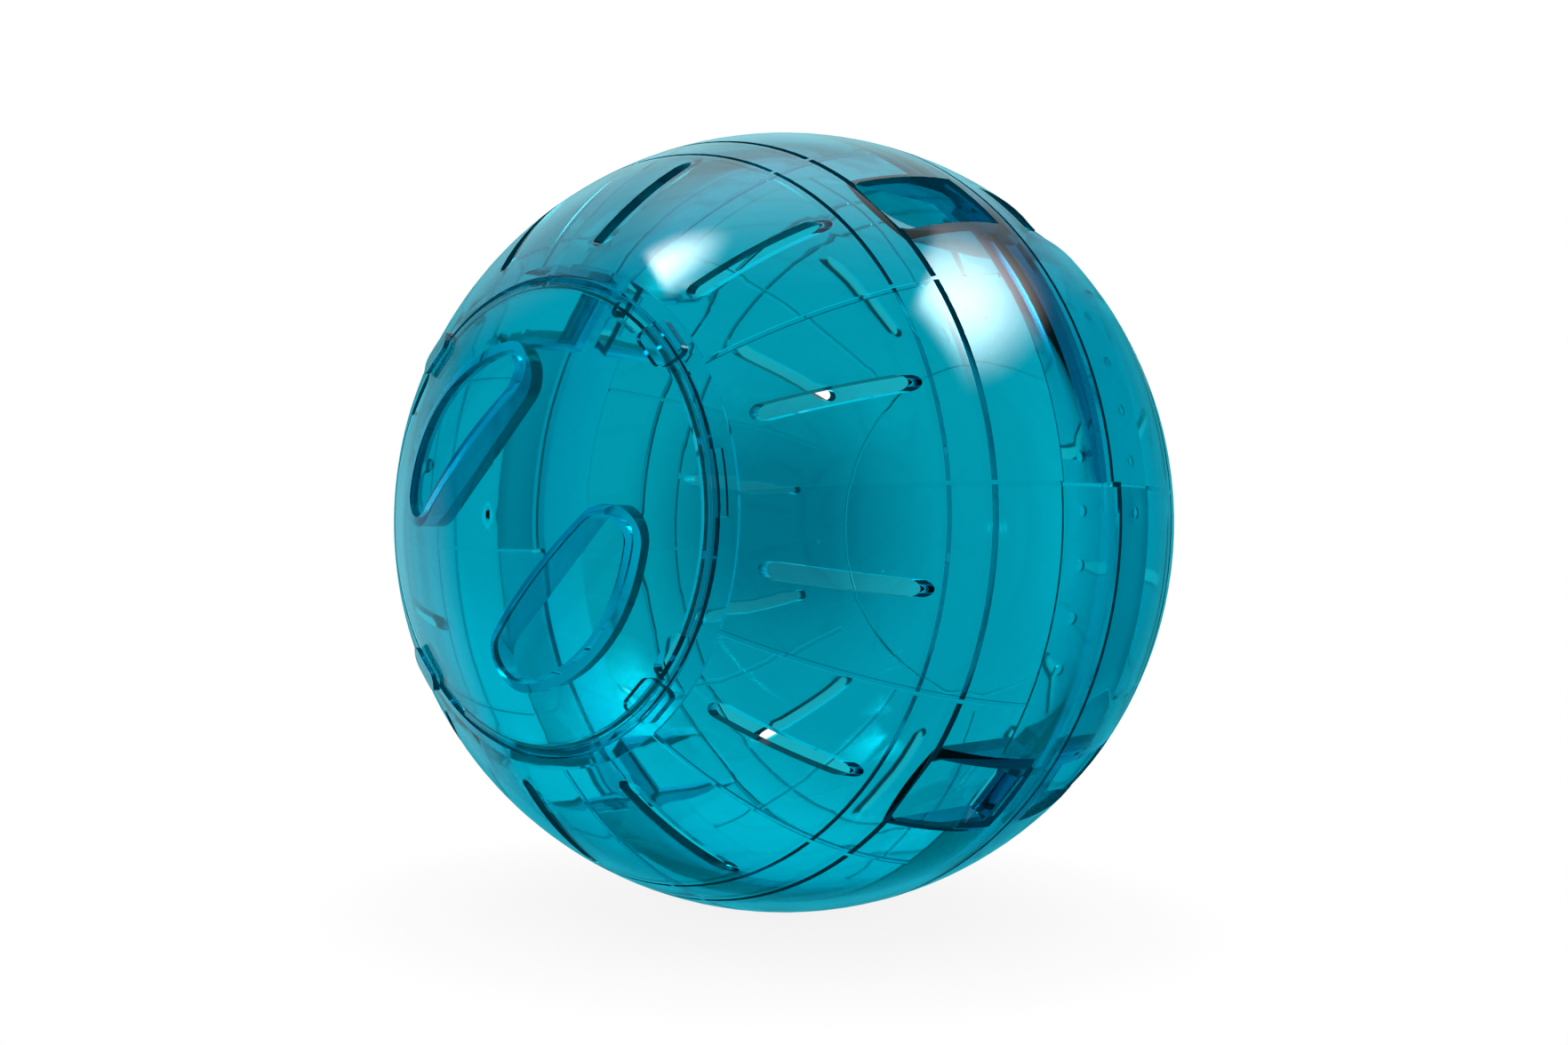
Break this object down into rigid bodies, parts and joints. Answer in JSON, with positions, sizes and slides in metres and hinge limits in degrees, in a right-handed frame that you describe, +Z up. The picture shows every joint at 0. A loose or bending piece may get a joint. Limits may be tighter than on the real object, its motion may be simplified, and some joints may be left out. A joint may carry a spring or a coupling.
{
  "type": "hamster ball",
  "caption": "Clear teal exercise ball for a hamster: two vented half shells snap together at the seam, one closed and one with a twist-lock door that has two finger recesses.",
  "frame": {"origin": "centre of the ball", "axes": "+Y along the axis through the middle of the door, with the door facing -Y; +Z up"},
  "size_m": [0.18, 0.18, 0.18],
  "materials": {
    "shell": "polished, clear tinted",
    "door": "polished, clear tinted"
  },
  "bodies": {
    "ball": {"front_shell": "shell", "rear_shell": "shell"},
    "door": {"door": "door"}
  },
  "joints": [
    {"name": "door_twist", "type": "hinge", "parent": "ball", "child": "door", "pos_m": [0, 0, 0], "axis": [0, 1, 0], "range_deg": [0, 12.5]}
  ]
}
